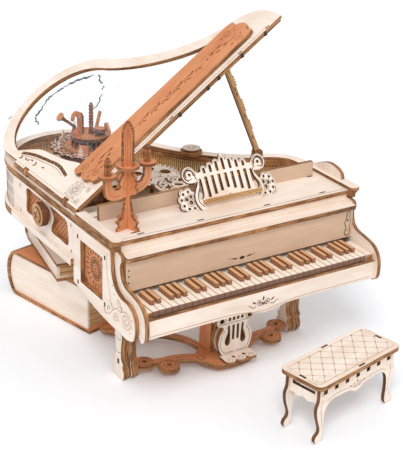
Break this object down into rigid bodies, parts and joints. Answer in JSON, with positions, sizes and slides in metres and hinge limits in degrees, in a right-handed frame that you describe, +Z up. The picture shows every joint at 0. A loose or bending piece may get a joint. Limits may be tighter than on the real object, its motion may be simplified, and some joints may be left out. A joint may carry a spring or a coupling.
{
  "type": "wooden 3d jigsaw model",
  "caption": "Laser-cut plywood grand piano puzzle with a propped lid, a key-driven clockwork carousel, a stack of books under the tail and a separate bench.",
  "frame": {"origin": "on the table, under the middle of the pedal base", "axes": "+X towards the treble side, +Y from the keyboard to the tail, +Z up"},
  "size_m": [0.2005, 0.3077, 0.2255],
  "materials": {
    "birch_ply": "raw pale plywood with scorched laser-cut edges",
    "stained_ply": "orange-brown stained plywood with dark cut edges",
    "tan_ply": "tan plywood",
    "flexed_ply": "thin plywood with living-hinge cuts",
    "key_ply": "pale plywood with scorched cut edges",
    "page_ply": "pale plywood layers standing for pages",
    "acrylic": "clear acrylic sheet with a fine printed pattern",
    "steel": "bright steel wire",
    "brass": "satin brass"
  },
  "bodies": {
    "piano": {"cheek_outer_left": "birch_ply", "cheek_outer_right": "birch_ply", "cheek_inner_left": "birch_ply", "cheek_inner_right": "birch_ply", "sunburst_panels": "stained_ply", "left_wall": "birch_ply", "lattice_panels": "stained_ply", "bent_side": "flexed_ply", "base_rail": "birch_ply", "case_floor": "birch_ply", "soundboard": "birch_ply", "rim_cap_lower": "birch_ply", "rim_cap_upper": "birch_ply", "rim_rosette": "birch_ply", "side_crest": "birch_ply", "top_board": "birch_ply", "bulkhead": "birch_ply", "back_rail": "tan_ply", "fallboard": "tan_ply", "fallboard_shelf": "birch_ply", "key_frame": "birch_ply", "keybed": "birch_ply", "keyslip": "birch_ply", "bottom_board": "birch_ply", "music_desk": "birch_ply", "desk_ledge": "tan_ply", "candelabra_stand": "stained_ply", "candles": "stained_ply", "front_legs": "birch_ply", "stretcher": "stained_ply", "pedal_lyre": "birch_ply", "pedal_plate": "birch_ply", "tail_support": "birch_ply", "large_book_cover": "stained_ply", "large_book_pages": "page_ply", "small_book_cover": "birch_ply", "small_book_pages": "page_ply", "movement_plate": "brass", "movement_comb": "steel", "spring_barrel": "brass", "gear_pins": "steel", "hinge_lugs": "birch_ply", "hinge_pins": "steel", "prop_bracket": "birch_ply"},
    "lid": {"lid_frame": "birch_ply", "lid_underframe": "birch_ply", "lid_pane": "acrylic", "lid_beam": "stained_ply", "lid_barrels": "birch_ply"},
    "prop": {"lid_prop": "birch_ply"},
    "knob": {"winding_knob": "tan_ply"},
    "carousel": {"carousel": "stained_ply", "instruments": "stained_ply"},
    "idler": {"idler_gear": "birch_ply"},
    "drive": {"drive_gear": "birch_ply"},
    "drum": {"pin_drum": "brass"},
    "key_bank_a": {"keys_odd": "key_ply"},
    "key_bank_b": {"keys_even": "key_ply"},
    "bench": {"bench_frame": "birch_ply", "bench_top": "birch_ply"}
  },
  "joints": [
    {"name": "lid_lift", "type": "hinge", "parent": "piano", "child": "lid", "pos_m": [-0.093, 0.1, 0.1144], "axis": [0, -1, 0], "range_deg": [0, 40]},
    {"name": "prop_fold", "type": "hinge", "parent": "piano", "child": "prop", "pos_m": [0.07, 0.0805, 0.1152], "axis": [0, -1, 0], "range_deg": [0, 64]},
    {"name": "knob_turn", "type": "hinge", "parent": "piano", "child": "knob", "pos_m": [-0.095, 0.088, 0.098], "axis": [1, 0, 0], "continuous": true},
    {"name": "carousel_spin", "type": "hinge", "parent": "piano", "child": "carousel", "pos_m": [-0.03, 0.152, 0.112], "axis": [0, 0, 1], "continuous": true},
    {"name": "idler_spin", "type": "hinge", "parent": "piano", "child": "idler", "pos_m": [-0.01969, 0.12383, 0.1055], "axis": [0, 0, 1], "continuous": true},
    {"name": "drive_spin", "type": "hinge", "parent": "piano", "child": "drive", "pos_m": [-0.00938, 0.09565, 0.1055], "axis": [0, 0, 1], "continuous": true},
    {"name": "drum_spin", "type": "hinge", "parent": "piano", "child": "drum", "pos_m": [-0.004, 0.072, 0.0895], "axis": [1, 0, 0], "continuous": true},
    {"name": "key_bank_a_press", "type": "hinge", "parent": "piano", "child": "key_bank_a", "pos_m": [0, 0.0115, 0.0745], "axis": [1, 0, 0], "range_deg": [0, 3], "stiffness_Nm_per_rad": 0.1, "springref_deg": -2.86},
    {"name": "key_bank_b_press", "type": "hinge", "parent": "piano", "child": "key_bank_b", "pos_m": [0, 0.0115, 0.0745], "axis": [1, 0, 0], "range_deg": [0, 3], "stiffness_Nm_per_rad": 0.1, "springref_deg": -2.86},
    {"name": "bench_slide", "type": "slide", "parent": "piano", "child": "bench", "axis": [0, -1, 0], "range_m": [-0.006, 0.03]}
  ],
  "couplings": [
    {"joint": "idler_spin", "follows": "carousel_spin", "ratio": -2},
    {"joint": "drive_spin", "follows": "carousel_spin", "ratio": 1},
    {"joint": "drum_spin", "follows": "carousel_spin", "ratio": 2}
  ]
}
